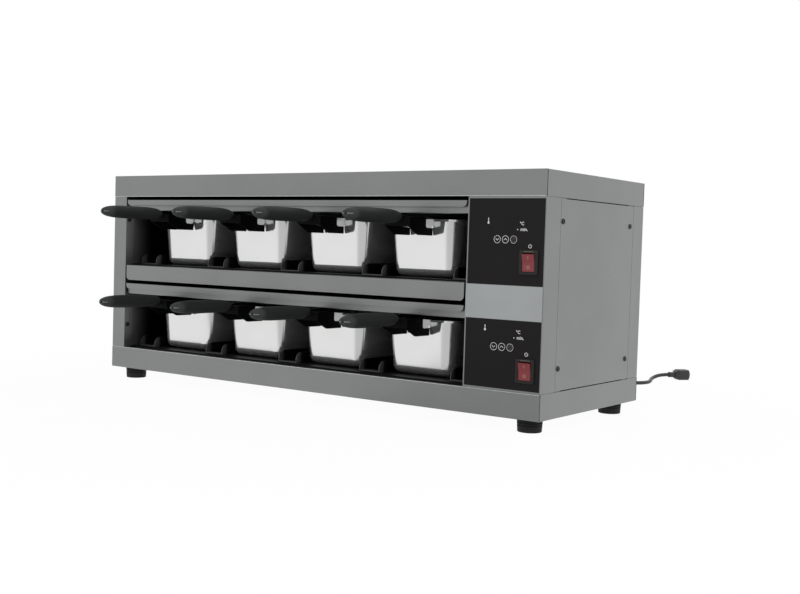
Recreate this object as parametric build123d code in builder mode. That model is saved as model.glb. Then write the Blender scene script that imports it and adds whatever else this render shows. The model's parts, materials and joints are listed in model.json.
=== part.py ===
"""Heated holding cabinet with two rows of pull-out food pans.

Millimetres, +Z up. The origin is on the floor, below the centre of the cabinet's bounding box without
its cord. The pans come out of the front, towards -Y. The controls are on the right, at +X.
"""
from build123d import *
import math
import os

# Sheet metal
sheet = 1.2
liner_sheet = 1.2
seam_gap = 0.4
panel_gap = 0.6
panel_end_gap = 1.2
corner_slit = 0.9
touch_gap = 0.3
hole_clearance = 0.3
bend_radius = 1.0

# Pans
pans_per_row = 4
pan_width = 162.0
pan_length = 265.0
pan_height = 98.3
pan_flange = 9.7
pan_wall = 1.0
pan_lip_height = 3.4
pan_corner_radius = 26.0
pan_flange_radius = 22.0
pan_base_radius = 15.5
pan_draft = 5.2
pan_pitch = 192.0
pan_setback = 36.0

# Row stack, from the deck of one row to the deck of the next
row_names = ["lower", "upper"]
deck_plate = 3.0
pan_headroom = 9.3
plate_lip = 10.5
hood_lip = 10.7
hood_to_rail = 7.0
rail_height = 29.9
top_slot = 6.5
deck_above_skirt = 1.9

# Carcass
skirt_height = 42.0
post_width = 36.0
column_width = 141.0
side_margin = 27.5
rear_clearance = 7.0
rear_space = 50.8
corner_depth = 48.2
rear_corner_depth = 41.3
return_depth = 20.0
joggle = 20.0
joggle_lap = 10.0
tab_width = 30.0
tab_height = 14.0

# Shelves, hoods and plates
lip_gap = 3.5
lip_shoulder = 5.0
lip_corner_radius = 8.0
flange_depth = 20.0
liner_setback = 2.0
liner_base = 12.0
plate_setback = 5.5
deck_setback = 18.0
deck_side_gap = 1.0

# Feet
foot_height = 22.5
foot_diameter = 42.0
foot_base_diameter = 39.0
foot_edge_radius = 1.5
foot_inset = 35.0
foot_grooves = 3
foot_groove_depth = 1.2
foot_groove_width = 1.6
foot_groove_pitch = 4.0
foot_recess_diameter = 17.0
foot_recess_depth = 10.0
foot_bolt_diameter = 8.0
foot_bolt_head = 5.3
foot_nut_height = 6.5
foot_hex_radius = 7.5
foot_bolt_tail = 3.0

# Handles
grip_length = 140.0
grip_width = 34.0
grip_height = 24.0
grip_rise = 2.0
grip_root = 20.0
grip_sections = [(0.0, 0.42), (0.04, 0.66), (0.11, 0.86), (0.24, 0.98), (0.5, 1.0), (0.76, 0.97),
                 (0.89, 0.84), (0.965, 0.63), (1.0, 0.40)]
leg_spacing = 46.6
leg_thickness = 5.0
leg_front = 22.5
leg_top = 2.5
leg_drop = 27.2
leg_toe = 6.0
leg_heel = 43.5
leg_chin = 13.0
web_rear = 10.0
hook_thickness = 3.0
hook_front = 23.7
hook_rear = 44.5
hook_drop = 14.5
hook_rise = 1.0
hook_radius = 6.0
hook_fit = 0.2

# Pan guides
guide_width = 44.0
guide_height = 19.5
guide_front = 38.2
guide_rear_gap = 8.0
guide_sheet = 1.5
guide_nose = 14.0

# Control overlays and label
overlay_thickness = 0.5
overlay_inset = 2.5
overlay_edge = 1.5
overlay_margin = 3.5
lower_overlay_height = 108.9
upper_overlay_height = 136.1

# Keys
key_names = ["down", "up", "timer"]
key_diameter = 13.0
key_clearance = 0.4
key_spacing = 14.85
key_drop = 64.4
key_inset = 56.2
key_rise = 0.7
key_travel = 0.5
key_edge_radius = 0.35
key_flange_diameter = 14.2
key_flange_thickness = 1.0
key_stem_diameter = 6.0

# Rocker switches
switch_margin = 27.1
switch_drop = 99.4
bezel_width = 33.3
bezel_height = 38.3
bezel_rise = 2.5
bezel_corner_radius = 2.5
bezel_edge_radius = 1.0
switch_wall = 1.9
switch_body_depth = 24.0
switch_tab_pitch = 9.0
switch_tab_width = 6.3
switch_tab_thickness = 0.8
switch_tab_length = 8.0
rocker_width = 21.0
rocker_height = 27.2
rocker_face = 5.0
rocker_hollow = 3.4
rocker_edge = 1.2
rocker_back = 3.5
rocker_back_height = 16.0
rocker_depth = 7.0
rocker_clearance = 0.6
rocker_tilt = 7.0
rocker_pivot_depth = 1.0
rocker_pin_diameter = 3.0
rocker_pin_length = 1.3

# Controller boards
board_width = 78.0
board_height = 66.0
board_depth = 11.0
board_thickness = 1.6
board_drop = 46.0
standoff_inset = 4.0
standoff_diameter = 6.0
tact_width = 6.0
tact_height = 4.3
relay_length = 50.0
relay_width = 30.0
relay_depth = 15.0
display_width = 47.0
display_height = 18.0
display_drop = 36.0
display_inset = 69.5
display_gap = 1.5

# Fasteners
screw_head_diameter = 9.0
screw_head_height = 1.6
screw_edge_radius = 0.8
screw_diameter = 4.0
screw_length = 9.0
driver_slot = 1.2
driver_slot_length = 5.0
driver_slot_depth = 0.8
side_screw_front = 7.6
side_screw_rear = 13.0
side_screw_margin = 35.4
return_screw_inset = 7.5
return_screw_margin = 45.9
rear_screw_columns = 3
rear_screw_margin = 120.0

# Heating elements
element_diameter = 6.5
element_passes = 4
element_margin = 40.0
element_bend = 25.0
element_tail = 14.0

# Rear and inside
vent_count = 8
vent_width = 5.0
vent_height = 46.0
vent_pitch = 11.0
vent_drop = 60.0
probe_diameter = 4.0
probe_reach = 35.0
probe_rise = 5.0
probe_setback = 150.0
probe_collar_diameter = 10.0
probe_collar_length = 4.0
probe_tail = 12.0
terminal_length = 62.0
terminal_depth = 24.0
terminal_height = 26.0
terminal_setback = 90.0
terminal_poles = 5
terminal_groove = 2.0
terminal_groove_depth = 8.0

# Cord, gland and plug
cord_diameter = 8.0
gland_level = 60.0
gland_thread = 20.0
gland_thread_length = 8.0
gland_nut_radius = 14.0
gland_nut_length = 7.0
gland_locknut_length = 5.0
gland_sleeve_length = 31.0
gland_end_diameter = 12.0
coil_centre = (-151.5, 208.2)
coil_outer_radius = 54.0
coil_pitch = 10.0
coil_layer = 8.8
coil_turns_in = 2.0
coil_climb = 0.5
coil_turns_out = 1.75
coil_lead = 8.0
cord_bend_share = 0.45
plug_start = (-96.6, 521.0, 11.5)
plug_heading = (14.9, 18.8, 0.0)
plug_relief_length = 14.0
plug_relief_diameter = 12.0
plug_shoulder_length = 8.0
plug_shoulder_width = 16.0
plug_shoulder_height = 14.0
plug_body_length = 23.0
plug_width = 27.0
plug_height = 23.0
plug_corner_radius = 4.0
plug_bevel = 5.0
plug_nose_length = 5.0
blade_spacing = 12.7
blade_width = 1.5
blade_height = 6.3
blade_length = 16.0
blade_setback = 29.0
ground_pin_diameter = 4.8
ground_pin_length = 19.0
ground_pin_setback = 10.6

# Levels above the underside of the body
deck_top = skirt_height + deck_above_skirt
pan_base = deck_top + touch_gap
rim_level = pan_base + pan_height
plate_bottom = rim_level + pan_headroom
hood_bottom = plate_bottom + plate_lip
hood_top = hood_bottom + hood_lip
rail_bottom = hood_top + hood_to_rail
row_pitch = rail_bottom + rail_height + deck_plate - deck_top
row_floors = [index * row_pitch for index in range(len(row_names))]
opening_top = hood_top + row_floors[-1] + top_slot
body_height = opening_top + skirt_height

# Plan of the cabinet
opening_width = pans_per_row * pan_pitch + 2 * side_margin
cabinet_width = post_width + opening_width + column_width
cabinet_depth = pan_setback + pan_length + rear_clearance + liner_sheet + rear_space + sheet
handle_reach = grip_root + grip_length
left = -cabinet_width / 2
right = cabinet_width / 2
opening_left = left + post_width
opening_right = right - column_width
opening_centre = (opening_left + opening_right) / 2
front = (handle_reach - cabinet_depth - screw_head_height) / 2
rear = front + cabinet_depth
floor = foot_height
ceiling = floor + body_height
upright_span = (floor + skirt_height + seam_gap, floor + opening_top - seam_gap)
liner_left = opening_left - sheet
liner_right = opening_right + sheet
liner_rear = front + pan_setback + pan_length + rear_clearance
lip_left = opening_left + lip_gap
lip_right = opening_right - lip_gap
shoulder = front + return_depth + lip_shoulder
pan_columns = [opening_centre + (index - (pans_per_row - 1) / 2) * pan_pitch
               for index in range(pans_per_row)]
guide_columns = [opening_centre + (index - pans_per_row / 2) * pan_pitch
                 for index in range(pans_per_row + 1)]

os.makedirs("parts", exist_ok=True)
pieces = {}


def block(x_span, y_span, z_span, mode=Mode.ADD):
    """Add or cut a box that fills three pairs of coordinates."""
    spans = [sorted(x_span), sorted(y_span), sorted(z_span)]
    with Locations(tuple(sum(span) / 2 for span in spans)):
        Box(*(span[1] - span[0] for span in spans), mode=mode)


def rod(start, direction, radius, length, mode=Mode.ADD):
    """Add or cut a cylinder that starts at a point and runs along a direction."""
    with Locations(Plane(origin=start, z_dir=direction).location):
        Cylinder(radius, length, align=(Align.CENTER, Align.CENTER, Align.MIN), mode=mode)


# Places of the fasteners
panel_span_y = (front + corner_depth + panel_gap, rear - rear_corner_depth - panel_gap)
panel_span_z = (upright_span[0] + panel_end_gap, upright_span[1] - panel_end_gap)
side_screws = [(y, z) for y in (panel_span_y[0] + side_screw_front, panel_span_y[1] - side_screw_rear)
               for z in (panel_span_z[0] + side_screw_margin, panel_span_z[1] - side_screw_margin)]
return_screws = [(front + return_screw_inset, z)
                 for z in (upright_span[0] + return_screw_margin, upright_span[1] - return_screw_margin)]
rear_screw_pitch = (cabinet_width - 2 * rear_screw_margin) / (rear_screw_columns - 1)
rear_columns = [left + rear_screw_margin + index * rear_screw_pitch
                for index in range(rear_screw_columns)]
rear_screws = [(x, z) for x in rear_columns
               for z in (upright_span[0] - tab_height / 2, upright_span[1] + tab_height / 2)]
foot_places = [(x, y) for x in (left + foot_inset, right - foot_inset)
               for y in (front + foot_inset, rear - foot_inset)]
screw_hole = screw_diameter / 2 + hole_clearance


def side_holes():
    """Drill the side panels' screw holes on both sides of the cabinet."""
    for y, z in side_screws:
        rod((left, y, z), (1, 0, 0), screw_hole, 3 * sheet, Mode.SUBTRACT)
        rod((right, y, z), (-1, 0, 0), screw_hole, 3 * sheet, Mode.SUBTRACT)


def return_holes():
    """Drill the screw holes in the opening's returns and in the liners behind them."""
    depth = sheet + liner_sheet
    for y, z in return_screws:
        rod((opening_left, y, z), (-1, 0, 0), screw_hole, depth, Mode.SUBTRACT)
        rod((opening_right, y, z), (1, 0, 0), screw_hole, depth, Mode.SUBTRACT)


def rear_holes():
    """Drill the screw holes in the caps' rear skirts and in the tabs behind them."""
    for x, z in rear_screws:
        rod((x, rear, z), (0, -1, 0), screw_hole, 3 * sheet, Mode.SUBTRACT)


def tabs(x_span, y_span):
    """Add the tabs that reach behind both caps' skirts from an upright sheet."""
    for z in upright_span:
        block(x_span, y_span, (z - tab_height, z + tab_height))


# Top cap and bottom tray
def folded_cap(z_span, hollow_span, outer_face):
    """Add one flat sheet with skirts on all four sides and a slit beside each corner."""
    block((left, right), (front, rear), z_span)
    fillet(faces().sort_by(Axis.Z)[outer_face].edges(), radius=bend_radius)
    block((left + sheet, right - sheet), (front + sheet, rear - sheet), hollow_span, Mode.SUBTRACT)
    for y in (front + sheet, rear - sheet - corner_slit):
        block((left, left + sheet), (y, y + corner_slit), hollow_span, Mode.SUBTRACT)
        block((right - sheet, right), (y, y + corner_slit), hollow_span, Mode.SUBTRACT)
    rear_holes()


with BuildPart() as top_cap:
    folded_cap((floor + opening_top, ceiling), (floor + opening_top, ceiling - sheet), -1)
pieces["top_cap"] = top_cap

with BuildPart() as bottom_tray:
    folded_cap((floor, floor + skirt_height), (floor + sheet, floor + skirt_height), 0)
    for x, y in foot_places:
        rod((x, y, floor), (0, 0, 1), foot_bolt_diameter / 2 + hole_clearance, sheet, Mode.SUBTRACT)
pieces["bottom_tray"] = bottom_tray


# Front corners and rear panel
def side_skin(x_outer, inward, y_corner, y_edge, depth_sign):
    """Add a side skin from a corner, with the joggled flange that the side panel lies on."""
    block((x_outer, x_outer + inward * sheet), (y_corner, y_edge), upright_span)
    block((x_outer + inward * sheet, x_outer + inward * 2 * sheet),
          (y_edge - depth_sign * joggle_lap, y_edge + depth_sign * joggle), upright_span)


def round_corners(y_corner, corners):
    """Round the upright bends at the given X positions of one face."""
    edges_there = [edge for edge in edges().filter_by(Axis.Z)
                   if abs(edge.center().Y - y_corner) < touch_gap
                   and any(abs(edge.center().X - x) < touch_gap for x in corners)]
    fillet(edges_there, radius=bend_radius)


def front_corner(x_outer, x_inner, inward):
    """Add a front corner: front face, side skin, the opening's return and the tabs."""
    block((x_outer, x_inner), (front, front + sheet), upright_span)
    side_skin(x_outer, inward, front, front + corner_depth, 1)
    block((x_inner, x_inner - inward * sheet), (front, front + return_depth), upright_span)
    tabs((x_outer + inward * (2 * sheet + seam_gap), x_outer + inward * tab_width),
         (front + sheet, front + 2 * sheet))
    tabs((x_outer + inward * sheet, x_outer + inward * 2 * sheet), (front + 2 * sheet, front + tab_width))
    round_corners(front, [x_outer])
    side_holes()
    return_holes()


with BuildPart() as left_post:
    front_corner(left, opening_left, 1)
pieces["left_post"] = left_post

overlay_left = opening_right + overlay_inset
overlay_right = right - overlay_edge
overlay_low = floor + skirt_height + overlay_margin
overlay_high = floor + opening_top - overlay_margin
control_tops = [overlay_high - row_floors[-1] + row_floor for row_floor in row_floors]
key_columns = [opening_right + key_inset + index * key_spacing for index in range(len(key_names))]
switch_x = right - switch_margin
display_x = opening_right + display_inset
key_hole = key_diameter / 2 + key_clearance
rocker_swing = math.radians(rocker_tilt)
rocker_sweep = (rocker_height / 2 * math.cos(rocker_swing) + rocker_face * math.sin(rocker_swing))
window_width = rocker_width + 2 * rocker_clearance
window_height = 2 * (rocker_sweep + rocker_clearance)
switch_body_width = window_width + 2 * switch_wall
switch_body_height = window_height + 2 * switch_wall


def control_cutouts(top, y_span):
    """Cut the key holes and the switch opening of one row's controls."""
    for x in key_columns:
        rod((x, y_span[0], top - key_drop), (0, 1, 0), key_hole, y_span[1] - y_span[0], Mode.SUBTRACT)
    half_width = switch_body_width / 2 + hole_clearance
    half_height = switch_body_height / 2 + hole_clearance
    block((switch_x - half_width, switch_x + half_width), y_span,
          (top - switch_drop - half_height, top - switch_drop + half_height), Mode.SUBTRACT)


with BuildPart() as control_column:
    front_corner(right, opening_right, -1)
    for top in control_tops:
        control_cutouts(top, (front, front + sheet))
        block((display_x - display_width / 2, display_x + display_width / 2), (front, front + sheet),
              (top - display_drop - display_height / 2, top - display_drop + display_height / 2),
              Mode.SUBTRACT)
pieces["control_column"] = control_column

gland_x = (opening_right + right) / 2
gland_z = floor + gland_level
with BuildPart() as rear_panel:
    block((left, right), (rear - sheet, rear), upright_span)
    side_skin(left, 1, rear, rear - rear_corner_depth, -1)
    side_skin(right, -1, rear, rear - rear_corner_depth, -1)
    for x in rear_columns:
        tabs((x - tab_width / 2, x + tab_width / 2), (rear - 2 * sheet, rear - sheet))
    round_corners(rear, [left, right])
    side_holes()
    rear_holes()
    vent_middle = upright_span[1] - vent_drop
    with BuildSketch(Plane(origin=(gland_x, rear, vent_middle), x_dir=(0, 0, 1), z_dir=(0, -1, 0))):
        with GridLocations(0, vent_pitch, 1, vent_count):
            SlotOverall(vent_height, vent_width)
    extrude(amount=sheet, mode=Mode.SUBTRACT)
    rod((gland_x, rear, gland_z), (0, -1, 0), gland_thread / 2 + hole_clearance, sheet, Mode.SUBTRACT)
pieces["rear_panel"] = rear_panel

# Removable side panels
for name, x_outer, inward in (("left_side_panel", left, 1), ("right_access_panel", right, -1)):
    with BuildPart() as side_panel:
        block((x_outer, x_outer + inward * sheet), panel_span_y, panel_span_z)
        side_holes()
    pieces[name] = side_panel

# Liners of the heated space
element_levels = [floor + row_floor + plate_bottom + sheet + touch_gap + element_diameter / 2
                  for row_floor in row_floors]
plate_rear = liner_rear - sheet - touch_gap
element_front = front + plate_setback + element_margin
element_pitch = (plate_rear - element_margin - element_front) / (element_passes - 1)
element_rows = [element_front + index * element_pitch for index in range(element_passes)]
probe_places = [(liner_right, front + probe_setback, floor + row_floor + rim_level + probe_rise)
                for row_floor in row_floors]


def element_holes():
    """Drill the holes where the elements' ends pass from the plates to the control bay."""
    start = lip_right - 2 * sheet
    for y in (element_rows[0], element_rows[-1]):
        for z in element_levels:
            rod((start, y, z), (1, 0, 0), element_diameter / 2 + hole_clearance,
                liner_right + 2 * liner_sheet - start, Mode.SUBTRACT)


liner_span_y = (front + liner_setback, liner_rear + liner_sheet)
liner_span_z = (floor + sheet + liner_base, ceiling - sheet)
with BuildPart() as left_liner:
    block((liner_left - liner_sheet, liner_left), liner_span_y, liner_span_z)
    return_holes()
pieces["left_liner"] = left_liner

with BuildPart() as divider_wall:
    block((liner_right, liner_right + liner_sheet), liner_span_y, liner_span_z)
    return_holes()
    element_holes()
    for place in probe_places:
        rod(place, (1, 0, 0), probe_diameter / 2 + hole_clearance, liner_sheet, Mode.SUBTRACT)
pieces["divider_wall"] = divider_wall

with BuildPart() as rear_liner:
    block((liner_left, liner_right), (liner_rear, liner_rear + liner_sheet), liner_span_z)
pieces["rear_liner"] = rear_liner


# Shelves, hoods and plates of each row
def front_lip(y, z_span, corner_radius):
    """Add an upright front lip with its lower corners rounded."""
    middle = ((lip_left + lip_right) / 2, y, sum(z_span) / 2)
    with BuildSketch(Plane(origin=middle, x_dir=(1, 0, 0), z_dir=(0, -1, 0))) as lip:
        Rectangle(lip_right - lip_left, z_span[1] - z_span[0])
        fillet(lip.vertices().group_by(Axis.Y)[0], radius=corner_radius)
    extrude(lip.sketch, amount=-sheet)


def lipped_channel(z_span, flange_low):
    """Add a channel that is open below: a sheet, a front lip, a rear flange and side flanges."""
    flat = (z_span[1] - sheet, z_span[1])
    flange = (flange_low, z_span[1])
    block((lip_left, lip_right), (front, shoulder), flat)
    block((liner_left, liner_right), (shoulder, liner_rear), flat)
    front_lip(front, z_span, min(lip_corner_radius, z_span[1] - z_span[0] - sheet))
    block((liner_left, liner_right), (liner_rear - sheet, liner_rear), flange)
    block((liner_left, liner_left + sheet), (shoulder, liner_rear), flange)
    block((liner_right - sheet, liner_right), (shoulder, liner_rear), flange)
    top_edges = edges().filter_by(Axis.X).group_by(Axis.Y)[0].group_by(Axis.Z)[-1]
    fillet(top_edges, radius=bend_radius)


shelf_tops = [floor + row_floor + deck_top - deck_plate for row_floor in row_floors]
with BuildPart() as lower_shelf:
    block((liner_left, liner_right), (front + liner_setback, liner_rear),
          (shelf_tops[0] - sheet, shelf_tops[0]))
    for y in (front + liner_setback, liner_rear - sheet):
        block((liner_left, liner_right), (y, y + sheet), (floor + sheet, shelf_tops[0]))
pieces["lower_shelf"] = lower_shelf

with BuildPart() as upper_shelf:
    lipped_channel((floor + rail_bottom, shelf_tops[1]), shelf_tops[1] - flange_depth)
pieces["upper_shelf"] = upper_shelf

with BuildPart() as deck_plates:
    for shelf_top in shelf_tops:
        block((opening_left + deck_side_gap, opening_right - deck_side_gap),
              (front + deck_setback, liner_rear), (shelf_top, shelf_top + deck_plate))
pieces["deck_plates"] = deck_plates

for row_name, row_floor in zip(row_names, row_floors):
    hood_span = (floor + row_floor + hood_bottom, floor + row_floor + hood_top)
    with BuildPart() as heater_hood:
        lipped_channel(hood_span, hood_span[0])
        element_holes()
    pieces[f"{row_name}_heater_hood"] = heater_hood

    plate_span = (floor + row_floor + plate_bottom, hood_span[1] - sheet)
    with BuildPart() as heater_plate:
        block((lip_left, lip_right), (front + plate_setback, plate_rear), plate_span)
        fillet(heater_plate.faces().sort_by(Axis.Z)[0].edges(), radius=bend_radius)
        block((lip_left + sheet, lip_right - sheet), (front + plate_setback + sheet, plate_rear - sheet),
              (plate_span[0] + sheet, plate_span[1]), Mode.SUBTRACT)
        element_holes()
    pieces[f"{row_name}_heater_plate"] = heater_plate

# Heating elements, one serpentine over each plate
element_left = lip_left + element_margin
element_right = lip_right - element_margin
element_end = liner_right + liner_sheet + element_tail
with BuildPart() as heating_elements:
    for z in element_levels:
        turns = []
        for index, y in enumerate(element_rows):
            ends = [element_end if index == 0 else element_right, element_left]
            turns += [(x, y, z) for x in (ends if index % 2 == 0 else reversed(ends))]
        turns[-1] = (element_end, element_rows[-1], z)
        with BuildLine() as element_path:
            FilletPolyline(*turns, radius=element_bend)
        with BuildSketch(Plane(origin=turns[0], z_dir=(-1, 0, 0))):
            Circle(element_diameter / 2)
        sweep()
pieces["heating_elements"] = heating_elements

# Temperature probes, from the control bay into the space over the pans
with BuildPart() as temperature_probes:
    for x, y, z in probe_places:
        rod((x - probe_reach, y, z), (1, 0, 0), probe_diameter / 2,
            probe_reach + liner_sheet + probe_collar_length + probe_tail)
        rod((x + liner_sheet, y, z), (1, 0, 0), probe_collar_diameter / 2, probe_collar_length)
pieces["temperature_probes"] = temperature_probes

# Pan guides, channels that stand on the decks between the pans
guide_rear = liner_rear - guide_rear_gap
with BuildPart() as pan_guides:
    for row_floor in row_floors:
        for x in guide_columns:
            with BuildSketch(Plane.YZ.offset(x)) as side:
                with Locations(((front + guide_front + guide_rear) / 2,
                                floor + row_floor + deck_top + guide_height / 2)):
                    Rectangle(guide_rear - front - guide_front, guide_height)
                fillet(side.vertices().group_by(Axis.Y)[-1].sort_by(Axis.X)[0], radius=guide_nose)
            extrude(amount=guide_width / 2, both=True)
            inner = guide_width / 2 - guide_sheet
            block((x - inner, x + inner), (front + guide_front, guide_rear),
                  (floor + row_floor + deck_top + guide_sheet, floor + row_floor + deck_top + guide_height),
                  Mode.SUBTRACT)
pieces["pan_guides"] = pan_guides

# Feet and their bolts
with BuildPart() as foot_blank:
    with BuildSketch(Plane.XZ):
        with BuildLine():
            Polyline((0, 0), (foot_base_diameter / 2, 0), (foot_diameter / 2, foot_height),
                     (0, foot_height), close=True)
        make_face()
    revolve(axis=Axis.Z)
    fillet(foot_blank.faces().sort_by(Axis.Z)[0].edges(), radius=foot_edge_radius)
    for index in range(foot_grooves):
        with BuildSketch(Plane.XY.offset(foot_height - (index + 1) * foot_groove_pitch)):
            Circle(foot_diameter / 2)
            Circle(foot_base_diameter / 2 - foot_groove_depth, mode=Mode.SUBTRACT)
        extrude(amount=foot_groove_width, mode=Mode.SUBTRACT)
    rod((0, 0, 0), (0, 0, 1), foot_recess_diameter / 2, foot_recess_depth, Mode.SUBTRACT)
    rod((0, 0, 0), (0, 0, 1), foot_bolt_diameter / 2 + hole_clearance, foot_height, Mode.SUBTRACT)
with BuildPart() as feet:
    with Locations(*[(x, y, 0) for x, y in foot_places]):
        add(foot_blank.part)
pieces["feet"] = feet

foot_nut_base = floor + sheet
with BuildPart() as bolt_blank:
    for base, height in ((foot_recess_depth - foot_bolt_head, foot_bolt_head),
                         (foot_nut_base, foot_nut_height)):
        with BuildSketch(Plane.XY.offset(base)):
            RegularPolygon(foot_hex_radius, 6)
        extrude(amount=height)
    rod((0, 0, foot_recess_depth), (0, 0, 1), foot_bolt_diameter / 2,
        foot_nut_base + foot_nut_height + foot_bolt_tail - foot_recess_depth)
with BuildPart() as foot_bolts:
    with Locations(*[(x, y, 0) for x, y in foot_places]):
        add(bolt_blank.part)
pieces["foot_bolts"] = foot_bolts

# Panel screws, with their heads on the outer faces
with BuildPart() as screw_blank:
    rod((0, 0, 0), (0, 0, 1), screw_head_diameter / 2, screw_head_height)
    fillet(screw_blank.faces().sort_by(Axis.Z)[-1].edges(), radius=screw_edge_radius)
    slot_span = (screw_head_height - driver_slot_depth, screw_head_height)
    for half_x, half_y in ((driver_slot_length / 2, driver_slot / 2),
                           (driver_slot / 2, driver_slot_length / 2)):
        block((-half_x, half_x), (-half_y, half_y), slot_span, Mode.SUBTRACT)
    rod((0, 0, 0), (0, 0, -1), screw_diameter / 2, screw_length)
screw_planes = [Plane(origin=(x, y, z), z_dir=(outward, 0, 0))
                for x, outward in ((left, -1), (right, 1)) for y, z in side_screws]
screw_planes += [Plane(origin=(x, y, z), z_dir=(inward, 0, 0))
                 for x, inward in ((opening_left, 1), (opening_right, -1)) for y, z in return_screws]
screw_planes += [Plane(origin=(x, rear, z), z_dir=(0, 1, 0)) for x, z in rear_screws]
with BuildPart() as panel_screws:
    with Locations(*[plane.location for plane in screw_planes]):
        add(screw_blank.part)
pieces["panel_screws"] = panel_screws

# Control overlays and the label between them
overlay_spans = [(overlay_low, overlay_low + lower_overlay_height),
                 (overlay_high - upper_overlay_height, overlay_high)]
for row_name, top, z_span in zip(row_names, control_tops, overlay_spans):
    with BuildPart() as control_overlay:
        block((overlay_left, overlay_right), (front - overlay_thickness, front), z_span)
        control_cutouts(top, (front - overlay_thickness, front))
    pieces[f"{row_name}_control_overlay"] = control_overlay

with BuildPart() as label_plate:
    block((opening_right + seam_gap, right - bend_radius), (front - overlay_thickness, front),
          (overlay_spans[0][1] + seam_gap, overlay_spans[1][0] - seam_gap))
pieces["label_plate"] = label_plate

# Keys, each with a flange behind the sheet and a stem that reaches for its switch
stem_end = board_depth - tact_height - key_travel - touch_gap
flange_face = sheet + touch_gap
key_face = -overlay_thickness - key_rise
with BuildPart() as key_blank:
    rod((0, key_face, 0), (0, 1, 0), key_diameter / 2, flange_face - key_face)
    fillet(key_blank.faces().sort_by(Axis.Y)[0].edges(), radius=key_edge_radius)
    rod((0, flange_face, 0), (0, 1, 0), key_flange_diameter / 2, key_flange_thickness)
    rod((0, flange_face, 0), (0, 1, 0), key_stem_diameter / 2, stem_end - flange_face)
for row_name, top in zip(row_names, control_tops):
    for key_name, x in zip(key_names, key_columns):
        with BuildPart() as key:
            with Locations((x, front, top - key_drop)):
                add(key_blank.part)
        pieces[f"{row_name}_{key_name}_key"] = key

# Rocker switches
window_back = overlay_thickness + rocker_pivot_depth + rocker_depth
with BuildPart() as switch_blank:
    block((-bezel_width / 2, bezel_width / 2), (-bezel_rise, 0), (-bezel_height / 2, bezel_height / 2))
    fillet(switch_blank.edges().filter_by(Axis.Y), radius=bezel_corner_radius)
    fillet(switch_blank.faces().sort_by(Axis.Y)[0].edges(), radius=bezel_edge_radius)
    block((-switch_body_width / 2, switch_body_width / 2), (0, switch_body_depth),
          (-switch_body_height / 2, switch_body_height / 2))
    block((-window_width / 2, window_width / 2), (-bezel_rise, window_back),
          (-window_height / 2, window_height / 2), Mode.SUBTRACT)
    pin_reach = rocker_width / 2 + rocker_pin_length + hole_clearance
    with BuildSketch(Plane.YZ):
        with Locations((overlay_thickness + rocker_pivot_depth, 0)):
            Circle(rocker_pin_diameter / 2 + hole_clearance)
    extrude(amount=pin_reach, both=True, mode=Mode.SUBTRACT)
    for z in (-switch_tab_pitch, 0, switch_tab_pitch):
        block((-switch_tab_width / 2, switch_tab_width / 2),
              (switch_body_depth, switch_body_depth + switch_tab_length),
              (z - switch_tab_thickness / 2, z + switch_tab_thickness / 2))
with BuildPart() as switch_housings:
    with Locations(*[(switch_x, front - overlay_thickness, top - switch_drop) for top in control_tops]):
        add(switch_blank.part)
pieces["switch_housings"] = switch_housings

with BuildPart() as rocker_blank:
    with BuildSketch(Plane.YZ):
        with BuildLine():
            Polyline((-rocker_face, -rocker_height / 2), (-rocker_hollow, 0),
                     (-rocker_face, rocker_height / 2), (-rocker_edge, rocker_height / 2),
                     (rocker_back, rocker_back_height / 2), (rocker_back, -rocker_back_height / 2),
                     (-rocker_edge, -rocker_height / 2), close=True)
        make_face()
    extrude(amount=rocker_width / 2, both=True)
    with BuildSketch(Plane.YZ):
        Circle(rocker_pin_diameter / 2)
    extrude(amount=rocker_width / 2 + rocker_pin_length, both=True)
for row_name, top in zip(row_names, control_tops):
    with BuildPart() as rocker:
        pivot = (switch_x, front + rocker_pivot_depth, top - switch_drop)
        with Locations(Location(pivot, (rocker_tilt, 0, 0))):
            add(rocker_blank.part)
    pieces[f"{row_name}_power_rocker"] = rocker

# Controller boards behind the panel, with display, switches and relay
with BuildPart() as controller_blank:
    block((-board_width / 2, board_width / 2), (board_depth, board_depth + board_thickness),
          (-board_height / 2, board_height / 2))
    for x in (-board_width / 2 + standoff_inset, board_width / 2 - standoff_inset):
        for z in (-board_height / 2 + standoff_inset, board_height / 2 - standoff_inset):
            rod((x, sheet, z), (0, 1, 0), standoff_diameter / 2, board_depth - sheet)
    half_width = display_width / 2 - display_gap
    half_height = display_height / 2 - display_gap
    display_level = board_drop - display_drop
    block((-half_width, half_width), (touch_gap, board_depth),
          (display_level - half_height, display_level + half_height))
    for x in key_columns:
        with Locations((x - display_x, board_depth - tact_height / 2, board_drop - key_drop)):
            Box(tact_width, tact_height, tact_width)
    block((-relay_length / 2, relay_length / 2),
          (board_depth + board_thickness, board_depth + board_thickness + relay_depth),
          (-relay_width / 2, relay_width / 2))
for row_name, top in zip(row_names, control_tops):
    with BuildPart() as controller:
        with Locations((display_x, front, top - board_drop)):
            add(controller_blank.part)
    pieces[f"{row_name}_controller"] = controller

# Terminal block on the tray's floor
terminal_pitch = terminal_length / terminal_poles
with BuildPart() as terminal_block:
    y_span = (rear - terminal_setback - terminal_depth, rear - terminal_setback)
    block((gland_x - terminal_length / 2, gland_x + terminal_length / 2), y_span,
          (floor + sheet, floor + sheet + terminal_height))
    for index in range(1, terminal_poles):
        x = gland_x - terminal_length / 2 + index * terminal_pitch
        block((x - terminal_groove / 2, x + terminal_groove / 2), y_span,
              (floor + sheet + terminal_height - terminal_groove_depth, floor + sheet + terminal_height),
              Mode.SUBTRACT)
pieces["terminal_block"] = terminal_block

# Pans with their two welded hooks, drawn with Y from the cabinet's front and Z from the pan's base
pan_middle = pan_setback + pan_length / 2
body_width = pan_width - 2 * pan_flange
body_length = pan_length - 2 * pan_flange


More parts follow.
